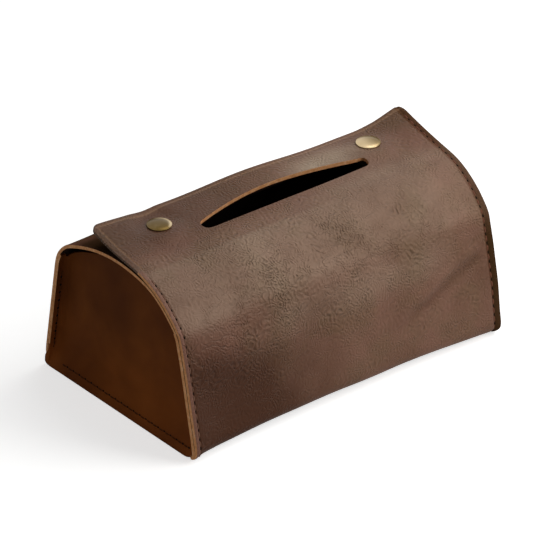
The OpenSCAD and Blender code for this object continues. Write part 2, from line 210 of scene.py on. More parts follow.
back_foot = arc(back_fold_c, BACK_FOLD_R, 270, 360 + BACK_LEAN)
back_top = Vector((BASE_DEPTH - BACK_WALL_H * rise(BACK_LEAN), BACK_WALL_H))
curl_c = back_top - CURL_R * turn(BACK_LEAN)
curl = arc(curl_c, CURL_R, BACK_LEAN, BACK_LEAN + CURL_TURN)
under_shoulder = sunk(list(reversed(low_arc + top_arc[1:])), LAYER_STEP)


def dome_stations():
    """The rear lip: a smooth curve from the curl to the layer under the hinge line."""
    a = curl[-1][0]
    d = under_shoulder[0][0]
    pull = 0.36 * (d - a).length
    b = a + pull * turn(BACK_LEAN + CURL_TURN + 90)
    c = d - pull * turn(90 + FLAP_SLOPE + 90)
    return [(p, -out) for p, out in bezier_stations(a, b, c, d)]


dome = dome_stations()
floor_start = (Vector((front_fold_c.x, 0.0)), turn(270))
back_line = Section([floor_start] + back_foot + curl + dome[1:] + under_shoulder[1:])
FLOOR_RUN = back_fold_c.x - front_fold_c.x
CURL_RUN = back_line.run_where(lambda p: p.y >= BACK_WALL_H)
LIP_RUN = Section([floor_start] + back_foot + curl).length
BAY_RUN, STUD_RUN, ARM_RUN = [
    back_line.run_where(lambda p: p.y > BACK_WALL_H + 10 and p.x <= edge)
    for edge in (BAY_EDGE_Y, STUD_EDGE_Y, hinge_p.x)
]


# Cutting, bending and thickening the leather
def smooth(t):
    t = min(max(t, 0.0), 1.0)
    return t * t * (3 - 2 * t)


def bump(distance, width):
    """A soft hill, 1 in the middle and 0 past its width."""
    return smooth(1 - abs(distance) / width)


def spot(x, z, middle, reach, power=2):
    """A soft round spot, 1 in its middle; reach is where it has sunk to about a third."""
    return math.exp(-((x - middle[0]) / reach[0]) ** power - ((z - middle[1]) / reach[1]) ** power)


def spread(start, end, step):
    """Even steps from start up to, but without, end."""
    count = max(1, round(abs(end - start) / step))
    return [start + (end - start) * i / count for i in range(count)]


def mirrored(half):
    """Columns from one rim to the other, from insets that run up to the middle."""
    left = [-HALF_LENGTH + inset for inset in half if inset < HALF_LENGTH - 0.01]
    return left + [0.0] + [-x for x in reversed(left)]


def cut_blank(columns, rows):
    """A flat piece of leather as a grid of faces, and its corners by column and row."""
    bm = bmesh.new()
    bmesh.ops.create_grid(bm, x_segments=len(columns) - 1, y_segments=len(rows) - 1, size=0.5)
    grid = {}
    for v in bm.verts:
        i = round((v.co.x + 0.5) * (len(columns) - 1))
        j = round((v.co.y + 0.5) * (len(rows) - 1))
        v.co = (columns[i], rows[j], 0.0)
        grid[i, j] = v
    return bm, grid


def remove_faces(bm, inside):
    """Cuts out the faces whose middle is inside."""
    gone = [f for f in bm.faces if inside(f.calc_center_median())]
    bmesh.ops.delete(bm, geom=gone, context="FACES")


def placed(x, y, z):
    """A point of the section frame, in metres in the row frame."""
    return Vector((x * MM, (y - MID_Y) * MM, z * MM))


def in_scene(name, data):
    obj = bpy.data.objects.new(name, data)
    bpy.context.scene.collection.objects.link(obj)
    return obj


def piece(name, bm, body=None, materials=()):
    """An object of that mesh, with the body that it rides on."""
    mesh = bpy.data.meshes.new(name)
    bm.to_mesh(mesh)
    bm.free()
    for material in materials:
        mesh.materials.append(material)
    mesh.shade_smooth()
    obj = in_scene(name, mesh)
    if body:
        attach(obj, body)
    return obj


def thicken(obj, skive=None, outer_crease=0.8):
    """Gives the leather its thickness, with flesh side, cut edge and slightly rounded edges.

    skive gives the share of the thickness that is left at a point where it is pared down.
    """
    solid = obj.modifiers.new("thickness", "SOLIDIFY")
    solid.thickness = LEATHER * MM
    if skive:
        group = obj.vertex_groups.new(name="thickness")
        for v in obj.data.vertices:
            group.add([v.index], skive(v.co), "REPLACE")
        solid.vertex_group = group.name
    solid.edge_crease_outer = outer_crease
    solid.edge_crease_inner = 0.9
    solid.offset = -1
    solid.use_even_offset = True
    solid.material_offset = FLESH_SIDE
    solid.material_offset_rim = EDGE
    soft = obj.modifiers.new("soft edges", "SUBSURF")
    soft.levels = soft.render_levels = 1
    bpy.context.view_layer.update()
    graph = bpy.context.evaluated_depsgraph_get()
    mesh = bpy.data.meshes.new_from_object(obj.evaluated_get(graph))
    obj.modifiers.clear()
    obj.data = mesh
    mesh.set_sharp_from_angle(angle=math.radians(50))


# Materials
def linear(hex_colour):
    """An sRGB hex colour as linear values, with alpha."""
    values = [int(hex_colour[i:i + 2], 16) / 255 for i in (1, 3, 5)]
    return [v / 12.92 if v <= 0.04045 else ((v + 0.055) / 1.055) ** 2.4 for v in values] + [1.0]


def feed(tree, node, inputs):
    """Feeds inputs of a node with a plain value, the first output of a node, or (node, output)."""
    for key, value in inputs.items():
        source, output = value if isinstance(value, tuple) and len(value) == 2 else (value, 0)
        if isinstance(source, bpy.types.Node):
            tree.links.new(source.outputs[output], node.inputs[key])
        else:
            node.inputs[key].default_value = value


def add(tree, kind, inputs=None, **settings):
    """Adds a node with its settings and what its inputs are fed with."""
    node = tree.nodes.new("ShaderNode" + kind)
    for key, value in settings.items():
        setattr(node, key, value)
    feed(tree, node, inputs or {})
    return node


def calc(tree, operation, a, b=0.0, kind="Math", **settings):
    """One step of arithmetic on two inputs, each fed like any input of a node."""
    return add(tree, kind, {0: a, 1: b}, operation=operation, **settings)


def new_material(name, values):
    """A material of one principled shader with its plain values, and object coordinates."""
    material = bpy.data.materials.new(name)
    material.use_nodes = True
    tree = material.node_tree
    tree.nodes.clear()
    shader = add(tree, "BsdfPrincipled", values)
    add(tree, "OutputMaterial", {"Surface": shader})
    coords = add(tree, "TexCoord")
    return material, tree, shader, coords


def ramp(tree, source, stops):
    """A colour ramp: stops are (position, hex colour)."""
    node = add(tree, "ValToRGB", {"Fac": source})
    elements = node.color_ramp.elements
    while len(elements) > 1:
        elements.remove(elements[-1])
    elements[0].position = stops[0][0]
    elements[0].color = linear(stops[0][1])
    for position, colour in stops[1:]:
        element = elements.new(position)
        element.color = linear(colour)
    return node


def mm_scale(size):
    """Texture scale whose features are about that many millimetres, on coordinates in metres."""
    return 1000.0 / size


def clouds_in(tree, vector, size, detail, roughness, distortion=0.0, **settings):
    """A noise whose clouds are about that many millimetres across."""
    return add(tree, "TexNoise", {"Vector": vector, "Scale": mm_scale(size), "Detail": detail,
                                  "Roughness": roughness, "Distortion": distortion}, **settings)


def mapped(tree, source, low, high, to_low, to_high):
    """What a node gives, mapped from one range onto another."""
    return add(tree, "MapRange", {"Value": source, "From Min": low, "From Max": high,
                                  "To Min": to_low, "To Max": to_high})


def waxed_colour(tree, here, patches):
    """Brown with clouds of wax some 55 mm across, an olive cast in patches, a paler rubbed margin, and
    painted sheen, shade and highlight.
    """
    clouds = clouds_in(tree, here, 55, 3.0, 0.55, 0.3)
    tone = ramp(tree, clouds, [(0.34, "#664332"), (0.50, "#714c3c"), (0.66, "#7b5444")])
    cast = mapped(tree, patches, 0.44, 0.62, 0.0, 0.4)
    colour = add(tree, "Mix", {"Factor": cast, "A": tone, "B": linear("#634c31")}, data_type="RGBA")
    # Painted sheen, milky in clouds; painted shade in dark brown; the margin outside the left seam
    # paler, rubbed and with painted sheen; dark olive, mostly painted shade; and a fine painted
    # highlight along the crease of the flap
    mottle = mapped(tree, clouds, 0.35, 0.65, 0.6, 1.4)
    for attribute, hue, strength in (
            ("painted_sheen", "#b8a68e", mottle), ("painted_shade", "#452311", 1.0), ("burnish_and_sheen", "#825a4b", 0.85),
            ("dark_olive", "#35240f", 1.0), ("crease_highlight", "#b58e6c", 0.45)):
        painted = add(tree, "Attribute", attribute_name=attribute)
        share = calc(tree, "MULTIPLY", (painted, "Fac"), strength)
        colour = add(tree, "Mix", {"Factor": share, "A": (colour, "Result"), "B": linear(hue)},
                     data_type="RGBA")
    return colour


def handling_wrinkles(tree, patches):
    """Wrinkles some 2 mm apart that turn every few millimetres, with long thin creases between."""
    flat = add(tree, "UVMap", uv_map="flat_leather")
    stir = clouds_in(tree, flat, 7, 1.5, 0.55, noise_dimensions="2D")
    shift = add(tree, "VectorMath", {0: (stir, "Color"), "Scale": 0.005}, operation="SCALE")
    stirred = calc(tree, "ADD", flat, shift, "VectorMath")
    wide, narrow = [
        add(tree, "TexGabor", {"Vector": stirred, "Scale": mm_scale(size), "Frequency": frequency,
                               "Anisotropy": 0.0}, gabor_type="2D")
        for size, frequency in ((9.0, 2.6), (5.0, 2.4))]
    where = clouds_in(tree, flat, 24, 2.0, 0.55, noise_dimensions="2D")
    wide_share = mapped(tree, where, 0.45, 0.62, 0.05, 0.85)
    crinkle = add(tree, "Mix", {"Factor": wide_share, "A": narrow, "B": wide}, data_type="FLOAT")
    strength = mapped(tree, patches, 0.38, 0.6, 0.4, 1.2)
    ripples = calc(tree, "MULTIPLY", calc(tree, "SUBTRACT", crinkle, 0.5), strength)
    drawn = calc(tree, "MULTIPLY", stirred, (0.5, 1.25, 1.0), "VectorMath")
    folds = clouds_in(tree, drawn, 15, 2.0, 0.6, 0.6, noise_dimensions="2D")
    apart = calc(tree, "ABSOLUTE", calc(tree, "SUBTRACT", folds, 0.5))
    line = mapped(tree, apart, 0.0, 0.05, -0.13, 0.0)
    both = calc(tree, "ADD", ripples, line)
    creased = add(tree, "Attribute", attribute_name="creased")
    return calc(tree, "MULTIPLY", both, (creased, "Fac"))


def pull_up_leather(name, specular):
    """Waxed pull-up cowhide: brown with clouds of wax, and wrinkled in ripples by handling."""
    material, tree, shader, coords = new_material(
        name, {"Specular IOR Level": specular, "Specular Tint": linear("#ffe4cc")})
    here = (coords, "Object")
    patches = clouds_in(tree, here, 34, 4.0, 0.6, 0.4)
    colour = waxed_colour(tree, here, patches)
    wrinkles = handling_wrinkles(tree, patches)
    grain = clouds_in(tree, here, 1.4, 2.0, 0.6)
    relief = calc(tree, "ADD", wrinkles, calc(tree, "MULTIPLY", grain, 0.1))
    bumps = add(tree, "Bump", {"Strength": 1.0, "Distance": 0.0012, "Height": relief})
    # The valleys of the wrinkles are painted darker as shade, and their ridges lighter as highlight
    painted_wrinkle_light = mapped(tree, wrinkles, -0.3, 0.22, 0.72, 1.12)
    shaded = calc(tree, "MULTIPLY", (colour, "Result"), painted_wrinkle_light, "VectorMath")
    gloss = mapped(tree, patches, 0.3, 0.7, 0.38, 0.46)
    feed(tree, shader, {"Base Color": shaded, "Roughness": gloss, "Normal": bumps})
    return material


def end_leather():
    """Smooth oiled side leather of the ends, dark orange brown with a soft low gloss."""
    material, tree, shader, coords = new_material("smooth_oiled_leather", {
        "Roughness": 0.6, "Specular IOR Level": 0.04, "Specular Tint": linear("#ffd8b0")})
    clouds = clouds_in(tree, (coords, "Object"), 45, 3.0, 0.5, 0.4)
    colour = ramp(tree, clouds, [(0.3, "#562c12"), (0.5, "#633414"), (0.7, "#713d18")])
    # Towards their front and their foot the ends are painted paler: painted light thrown back from the
    # floor and the front
    place = add(tree, "SeparateXYZ", {0: (coords, "Object")})
    forward = mapped(tree, (place, "Y"), 0.01, -0.06, 1.1, 1.4)
    low = mapped(tree, (place, "Z"), 0.06, 0.01, 1.0, 1.62)
    share = calc(tree, "MULTIPLY", forward, low)
    painted_bounce_light = calc(tree, "MULTIPLY", colour, share, "VectorMath")
    fine = clouds_in(tree, (coords, "Object"), 1.1, 2.0, 0.5)
    grain = add(tree, "Bump", {"Strength": 0.12, "Distance": 0.0002, "Height": fine})
    feed(tree, shader, {"Base Color": painted_bounce_light, "Normal": grain})
    return material


def clouded(name, stops, size, roughness, detail=3.0, rough_detail=0.55, relief=None, specular=0.5,
            metallic=0.0):
    """A finish in clouds of a few close colours, with the relief of the same clouds."""
    material, tree, shader, coords = new_material(
        name, {"Roughness": roughness, "Metallic": metallic, "Specular IOR Level": specular})
    clouds = clouds_in(tree, (coords, "Object"), size, detail, rough_detail)
    colour = ramp(tree, clouds, stops)
    feed(tree, shader, {"Base Color": colour})
    if relief:
        bumps = add(tree, "Bump", {"Strength": relief[0], "Distance": relief[1], "Height": clouds})
        feed(tree, shader, {"Normal": bumps})
    return material


def spun_thread(name, colour, lighter, roughness, specular):
    """Waxed linen thread, or the painted shade in an awl hole: small soft spots of two close colours."""
    return clouded(name, [(0.35, colour), (0.7, lighter)], 0.8, roughness, specular=specular)


LEATHER_OUT = pull_up_leather("waxed_pull_up_leather", 0.24)
# A copy without gloss, otherwise the same: the back and the right margin of the front take it as painted
# shade
SHADED_LEATHER = pull_up_leather("pull_up_leather_shaded", 0.0)
LEATHER_END = end_leather()
# Vegetable-tanned leather, raw where it is cut: tan, with fine layers of fibre
CUT_EDGE = clouded("raw_cut_leather_edge", [(0.3, "#cc8a55"), (0.55, "#e6a670"), (0.75, "#f2c296")],
                   2.2, 0.75, rough_detail=0.6, relief=(0.3, 0.0002), specular=0.2)
# The napped flesh side of the leather: without gloss, and near black as painted shade for the inside
FLESH = clouded("napped_flesh_side", [(0.3, "#1a0f09"), (0.6, "#26170e"), (0.8, "#332114")],
                1.4, 0.95, detail=4.0, rough_detail=0.7, relief=(0.5, 0.0003), specular=0.1)
THREAD = spun_thread("waxed_brown_thread", "#6a3f2e", "#7a4a36", 0.6, 0.15)
DARK_THREAD = spun_thread("dark_waxed_thread", "#4e2a12", "#5a3116", 0.8, 0.05)
PALE_THREAD = spun_thread("rubbed_brown_thread", "#71503f", "#7a5846", 0.6, 0.15)
HOLE = spun_thread("awl_hole_shadow", "#170d09", "#1e120c", 0.9, 0.05)
# Pressed brass, chemically darkened: dull gold with faint large spots
BRASS = clouded("antique_brass", [(0.35, "#8a7a58"), (0.7, "#92825f")], 5.0, 0.3, metallic=1.0)
# Drawn spring wire: plain grey steel
STEEL = clouded("spring_wire_steel", [(0.35, "#9a9a98"), (0.7, "#8a8a88")], 1.5, 0.35, metallic=1.0)


def brass_with_glint(name, patina, painted_glint):
    """Antique brass in dark patina, painted bright where the cap's glint attribute is high: a painted
    glint.
    """
    material, tree, shader, coords = new_material(name, {"Roughness": 0.3, "Metallic": 1.0})
    cloud = clouds_in(tree, (coords, "Object"), 6, 3.0, 0.55)
    spotted = mapped(tree, cloud, 0.3, 0.7, -0.08, 0.08)
    lighter = add(tree, "Attribute", attribute_name="painted_glint")
    share = calc(tree, "ADD", (lighter, "Fac"), spotted, use_clamp=True)
    colour = ramp(tree, share, [(0.0, patina), (1.0, painted_glint)])
    feed(tree, shader, {"Base Color": colour})
    return material


# The left cap is a darker copy as painted shade, and the right one a lighter copy as painted light
SHADED_BRASS = brass_with_glint("antique_brass_shaded", "#604d29", "#d8c29c")
LIT_BRASS = brass_with_glint("antique_brass_lit", "#80693f", "#ccb58e")
OUTER = (LEATHER_OUT, FLESH, CUT_EDGE)
FRONT = (LEATHER_OUT, FLESH, CUT_EDGE, SHADED_LEATHER)
BACK = (SHADED_LEATHER, FLESH, CUT_EDGE)


# The long front of the leather, from the bottom over the shoulder to the free edge
MARGIN = [0.0, 0.8, 1.6, 2.1, 2.6, 3.0, 3.4, 3.9, 4.5, 5.0, 5.6, 6.2, 7.0, 8.2, 9.8, 11.8, 14.8]


def rim_inset(x):
    return HALF_LENGTH - abs(x)


def seam_inset(side, z):
    """How far in from its rim a seam runs: wider at the right, where it draws in up the shoulder."""
    if side < 0:
        return LEFT_SEAM_INSET
    return RIGHT_SEAM_INSET - 1.3 * smooth((z - 70) / 40)


def sewn_relief(x, seam):
    """The edge of a sewn rim: a puffed margin and the groove that the thread lies in."""
    inset = rim_inset(x)
    return 0.14 * bump(inset - seam / 2, seam / 2) - 0.42 * bump(inset - seam, 0.9)


def rim_relief(x, z):
    """The relief along the rims of the front; the right rim rolls over, away from the front."""
    seam = seam_inset(x, z)
    rolled = 0.8 * max(0.0, 1 - rim_inset(x) / seam) ** 2 if x > 0 else 0.0
    return sewn_relief(x, seam) - rolled


def rim_puff(z, front):
    """How far a sewn wall stands out past its flat line."""
    if front:
        return 0.7 * smooth(z / 14) * smooth((78 - z) / 20)
    return 1.2 * smooth(z / 14) * smooth((100 - z) / 25)


def rolling(x, run, seed, size=46.0):
    """The slow waves of soft leather, from -1 to 1."""
    return noise.noise(Vector((x / size, run / size, seed)))


def flap_lift(x, out_run):
    """How far the flap stands off its plane, up, at a length out from the hinge."""
    dip = 1.5 * smooth((x + 110) / 60) + 2.2 * smooth((x + 30) / 90)
    dip *= smooth((HALF_LENGTH - x) / 38)
    crown = 1.5 * math.exp(-(x / 34) ** 2)
    corners = 1.8 * smooth((-x - 88) / 32) + 2.5 * smooth((x - 96) / 24)
    return (crown + corners - dip) * (out_run / FLAP_REACH) ** 2.5


# The caps sit on the flap, above the stud's base, a little air, the socket and the leather
LIP_SEAT_Z = 106.096
STUD_BASE_T = 0.5
SOCKET_H = 3.0
SEAT_Z = LIP_SEAT_Z + STUD_BASE_T + LAYER_GAP + SOCKET_H + LEATHER * math.cos(math.radians(FLAP_SLOPE))
HINGE_SHARE = soft_line.length / HINGE_RUN
CREASE_A = Vector((98.0, 55.5))
CREASE_B = Vector((50.0, 37.0))


def front_section(x, run):
    """The section of the front at x: firm at the rims, soft in between."""
    point, out = front_line.at(run)
    if run < HINGE_RUN:
        soft = smooth((rim_inset(x) - 6) / 62)
        soft_point, soft_out = soft_line.at(run * HINGE_SHARE)
        point = point.lerp(soft_point, soft)
        out = out.lerp(soft_out, soft).normalized()
    return point, out


def front_z(x, run):
    """The height of a point of the flat front leather."""
    return front_section(x, run)[0].y


def crease_place(x, z):
    """How far a point is from the soft fold at the right, and how deep the fold is there."""
    run = CREASE_B - CREASE_A
    place = Vector((x, z)) - CREASE_A
    share = place.dot(run) / run.length_squared
    fade = smooth(share / 0.25 + 1.1) * smooth((1.35 - share) / 0.7)
    return run.cross(place) / run.length + 2.0 * rolling(x, z, 5.7, 14.0), fade


def handling_crease(x, z):
    """A soft fold that runs down from the right rim: height off the wall."""
    apart, fade = crease_place(x, z)
    return (0.9 * bump(apart + 3.0, 6.0) - 1.2 * bump(apart - 2.0, 6.0)) * fade


def front_point(x, run):
    """Where a point of the flat front leather lies."""
    point, out = front_section(x, run)
    y, z = point
    inset = rim_inset(x)
    flap_out = run - HINGE_RUN
    sewn = smooth((-2 - flap_out) / 6) if x < 0 else 1.0
    off = rim_relief(x, z) * sewn
    right = smooth((x - 62) / 56)
    left = smooth((-x - 84) / 36)
    if flap_out > 0:
        z += flap_lift(x, flap_out)
        near = math.hypot(abs(x) - SNAP_X, y - SNAP_Y)
        z += (SEAT_Z - z) * smooth((DIMPLE_R - near) / (DIMPLE_R - SEAT_R))
        free = FLAP_REACH - flap_out
        off -= 0.25 * bump(free - 2.1, 0.9) * smooth((inset - 2) / 3)
        off -= 0.25 * bump(inset - 3.8, 0.9) * (1 - sewn) * smooth((free - 2) / 2)
        off += 0.5 * rolling(x, run, 3.1) * smooth(min(inset, free) / 14) * smooth((near - CAP_R) / 12)
    else:
        off += 1.1 * rolling(x, run, 3.1) * smooth(inset / 26)
        off += rim_puff(z, True) * smooth(1 - inset / 40)
        off += handling_crease(x, z)
        # Under the left shoulder the wall has been pressed in, below a soft ridge
        pressed = math.exp(-((x + 92) / 34) ** 2) * smooth(inset / 16)
        off += (1.3 * bump(z - 56, 22) - 1.2 * bump(z - 28, 30)) * pressed
        # The bottom edge bows in between the two feet
        bow = (1 - (x / HALF_LENGTH) ** 2) * math.exp(-z / 20)
        y += 4.4 * bow
        z += (1.3 * smooth(inset / 7) + 1.6 * bow) * smooth(1 - z / 40)
    flare = 1.3 * smooth((z - 12) / 26) + 0.7 * smooth((z - 78) / 20)
    x += flare * right - 1.4 * left * smooth(flap_out / 30)
    y += off * out.x
    z += off * out.y
    return placed(x, y, z)


SLOT_SHIFT = 5.2
SLOT_FRONT_RUN = (SLOT_FRONT_Y - hinge_p.x) / math.cos(math.radians(FLAP_SLOPE))
SLOT_ROWS = 6
BEHIND_SLOT = [0.0, 0.09, 0.2, 0.32, 0.44, 0.56, 0.67, 0.76, 0.82, 0.86, 0.89, 0.92, 0.96, 1.0]


def slot_rear(x):
    """The run of the rear edge of the slot at x, out from the hinge."""
    share = min(1.0, abs(x - SLOT_SHIFT) / SLOT_REACH)
    return SLOT_FRONT_RUN + 2 * SLOT_END_R + SLOT_BOW * (1 - share * share)


def creased_share(x, run):
    """How wrinkled handling has left the leather."""
    z = front_z(x, run)
    left = spot(x, z, (-98, 58), (26, 18))
    middle = 0.55 * spot(x, z, (-15, 78), (80, 28), power=4)
    return 0.6 + left + middle


def painted_shade_share(x, run):
    """Painted shade: low on the wall at the left."""
    z = front_z(x, run)
    upper = 80 - 0.3 * (x + 100) + 8 * rolling(x, z, 6.6, 18.0)
    low = smooth((upper - z) / 30) * smooth((-8 - x + 14 * rolling(x, z, 2.2, 24.0)) / 56)
    # and along the soft fold that runs down from the right rim, and a little over the left of the flap
    apart, fade = crease_place(x, z)
    on_flap = 0.25 * smooth((z - 108) / 3) * smooth((-x + 10) / 60)
    return max(0.92 * low, 0.42 * bump(apart - 2.5, 6.5) * fade, on_flap)


def painted_sheen_share(x, run):
    """Painted sheen: round the right stud and before the slot on the flap, on the shoulder and the upper
    wall, and faintly over most of the front.
    """
    z = front_z(x, run)
    out = run - HINGE_RUN
    if out > 0:
        round_stud = 0.64 * spot(x, out, (48, 31), (30, 11))
        before_slot = 0.2 * spot(x, out, (62, 4), (46, 12))
        return min(1.0, round_stud + before_slot + 0.08 * smooth((12 - out) / 10))
    shoulder = 0.19 * smooth((z - 76) / 10) * (1 - 0.6 * smooth((x - 80) / 20))
    wall = 0.16 * bump(z - 68, 20) * smooth((x + 70) / 40) * smooth((96 - x) / 30)
    left = 0.08 * spot(x, z, (-94, 80), (18, 9))
    body = 0.045 * smooth((x + 95) / 30)
    return shoulder + wall + left + body


def dark_olive_share(x, run):
    """Where the leather is painted dark olive: as shade past the right seam and behind the slot on the
    flap; also in the flap's right corner and along its left margin.
    """
    z = front_z(x, run)
    seam = seam_inset(x, z)
    past_seam = (x > 0) * (1 - smooth((rim_inset(x) - seam * 0.95) / (seam * 0.3)))
    past_seam *= 0.85 - 0.45 * smooth((z - 62) / 26)
    out = run - HINGE_RUN
    left = 0.34 * smooth((out - 4) / 24) * smooth((24 - x) / 70)
    corner = 0.3 * smooth((x - 84) / 20) * smooth((out - 26) / 12)
    margin = 0.4 * (1 - smooth((rim_inset(x) - 3.2) / 0.8)) * smooth(out / 6) * (x < 0)
    return max(left, corner, margin, past_seam)


def crease_highlight_share(x, run):
    """A fine pale line of painted highlight along the crease near the free rims of the flap."""
    out = run - HINGE_RUN
    free = FLAP_REACH - out
    rear = bump(free - 2.6, 1.0) * smooth((rim_inset(x) - 2) / 2)
    side = bump(rim_inset(x) - 4.2, 0.8) * smooth(out / 6) * smooth((free - 2) / 2) * (x < 0)
    return max(rear, side)


def mould(bm, surface, wear_and_light):
    """Bends flat leather over a surface. Patterns, by the UV map, and painted wear, sheen and shade keep
    to the flat places.
    """
    layer = bm.loops.layers.uv.new("flat_leather")
    for face in bm.faces:
        for loop in face.loops:
            loop[layer].uv = (loop.vert.co.x * MM, loop.vert.co.y * MM)
    for name, share in wear_and_light.items():
        layer = bm.verts.layers.float.new(name)
        for v in bm.verts:
            v[layer] = share(v.co.x, v.co.y)
    for v in bm.verts:
        v.co = surface(v.co.x, v.co.y)


def refinish(obj, old, new, test):
    """Gives the faces of one material another one where test(face) holds."""
    for face in obj.data.polygons:
        if face.material_index == old and test(face):
            face.material_index = new


def left_margin_share(x):
    """The margin between the left rim and its seam."""
    return (x < 0) * (1 - smooth((rim_inset(x) - LEFT_SEAM_INSET * 0.75) / (LEFT_SEAM_INSET * 0.3)))


def burnish_and_sheen_share(x, run):
    """Where the front is paler, rubbed and with painted sheen: its left margin and the free edge of the
    flap.
    """
    return max(left_margin_share(x) * smooth((HINGE_RUN + 6 - run) / 8),
               0.4 * smooth((run - FREE_RUN + 1.2) / 1.2))


def flap_thickness(place):
    """The flap is pared thin along its left rim, where it lies open."""
    x, y = place.x / MM, place.y / MM + MID_Y
    return 1 - 0.38 * smooth((8 - rim_inset(x)) / 4) * smooth((y - 47) / 8) * (x < 0)


def build_front_leather():
    ends = SLOT_SHIFT - SLOT_REACH, SLOT_SHIFT + SLOT_REACH
    into_end = 3.2
    columns = [-HALF_LENGTH + i for i in MARGIN]
    columns += spread(columns[-1] + 2.8, ends[0] - into_end, 2.6) + [ends[0] - into_end]
    columns += spread(ends[0], ends[1], 2.6) + [ends[1]]
    columns += spread(ends[1] + into_end, HALF_LENGTH - MARGIN[-1] - 2.8, 2.6)
    columns += [HALF_LENGTH - i for i in reversed(MARGIN)]
    lower = spread(0.0, HINGE_RUN, STITCH_PITCH / 2)
    before_slot = spread(HINGE_RUN, HINGE_RUN + SLOT_FRONT_RUN, 2.4)
    first = len(lower) + len(before_slot)
    last = first + SLOT_ROWS
    rows = lower + before_slot + [0.0] * (SLOT_ROWS + len(BEHIND_SLOT))
    bm, grid = cut_blank(columns, rows)
    slot_start = HINGE_RUN + SLOT_FRONT_RUN
    for (i, j), v in grid.items():
        rear = HINGE_RUN + slot_rear(v.co.x)
        if first <= j <= last:
            v.co.y = slot_start + (rear - slot_start) * (j - first) / SLOT_ROWS
        elif j > last:
            v.co.y = rear + (FREE_RUN - rear) * BEHIND_SLOT[j - last]
    # The slot is cut between its two end columns, which bend to round its ends
    cut_columns = columns.index(ends[0] - into_end), columns.index(ends[1] + into_end)
    slot_x = columns[cut_columns[0]], columns[cut_columns[1]]
    remove_faces(bm, lambda c: slot_x[0] < c.x < slot_x[1]
                 and slot_start < c.y < HINGE_RUN + slot_rear(c.x))
    for i, side, end in ((cut_columns[0], -1, ends[0]), (cut_columns[1], 1, ends[1])):
        for j in range(first, last + 1):
            angle = math.radians(-58 + 116 * (j - first) / SLOT_ROWS)
            grid[i, j].co.x = end + side * SLOT_END_R * math.cos(angle)
            grid[i, j].co.y = slot_start + SLOT_END_R + SLOT_END_R * math.sin(angle)
    # Rounded free corners
    for v in bm.verts:
        u = 1 - rim_inset(v.co.x) / FLAP_CORNER_R
        w = 1 - (FREE_RUN - v.co.y) / FLAP_CORNER_R
        if u > 0 and w > 0:
            out_x = FLAP_CORNER_R * (1 - u * math.sqrt(1 - w * w / 2))
            v.co.x = math.copysign(HALF_LENGTH - out_x, v.co.x)
            v.co.y = FREE_RUN - FLAP_CORNER_R * (1 - w * math.sqrt(1 - u * u / 2))
    mould(bm, front_point, {
        "creased": creased_share, "burnish_and_sheen": burnish_and_sheen_share, "painted_shade": painted_shade_share,
        "dark_olive": dark_olive_share, "painted_sheen": painted_sheen_share, "crease_highlight": crease_highlight_share})
    obj = piece("front_leather", bm, materials=FRONT)
    thicken(obj, flap_thickness, outer_crease=0.7)
    # The margin past the right seam takes the copy without gloss: painted shade where the rim rolls away
    refinish(obj, GRAIN_SIDE, SHADED_GRAIN,
             lambda f: HALF_LENGTH - f.center.x / MM < seam_inset(1, f.center.z / MM))
    # The edge of the flap is waxed like its face, and only the slot shows a raw cut
    hinge, behind_slot = placed(0.0, hinge_p.x + 2, 0.0).y, placed(0.0, 97.0, 0.0).y
    refinish(obj, EDGE, GRAIN_SIDE, lambda f: f.center.y > hinge and (
        HALF_LENGTH * MM - abs(f.center.x) < 0.006 or f.center.y > behind_slot))
    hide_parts("flap", "wrap")
    return obj


def blend_at_hinge(obj):
    """Bakes the placement of a piece into its mesh."""
    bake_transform(obj)


blend_at_hinge(build_front_leather())


# The bottom, the back wall and the rear lip with its two arms
def back_point(x, run):
    point, out = back_line.at(run)
    y, z = point
    inset = rim_inset(x)
    on_wall = smooth((run - FLOOR_RUN - 4) / 10) * smooth((LIP_RUN - run) / 10)
    off = sewn_relief(x, LEFT_SEAM_INSET) * on_wall
    off += 1.0 * rolling(x, run, 8.4) * smooth(inset / 26) * smooth((run - FLOOR_RUN - 8) / 12)
    off *= smooth((STUD_RUN + 10 - run) / 20)
    off += (LAYER_GAP - SEWN_GAP + rim_relief(x, z)) * smooth((run - ARM_RUN) / 16)
    if run > FLOOR_RUN - 0.1:
        off += rim_puff(z, False) * smooth((LIP_RUN + 12 - run) / 20)
        # In the fold at the foot the rim is cut back, under the drawn-out corner of the end
        x -= math.copysign(1.5 * smooth((FLOOR_RUN + 9.5 - run) / 4) * (1 - smooth(inset / 7)), x)
    else:
        bow = (1 - (x / HALF_LENGTH) ** 2) * smooth(1 - run / 24)
        y += 4.4 * bow
        z += 1.3 * smooth(inset / 7) * smooth(1 - run / 24) + 1.6 * bow
    y += off * out.x
    z += off * out.y
    return placed(x, y, z)


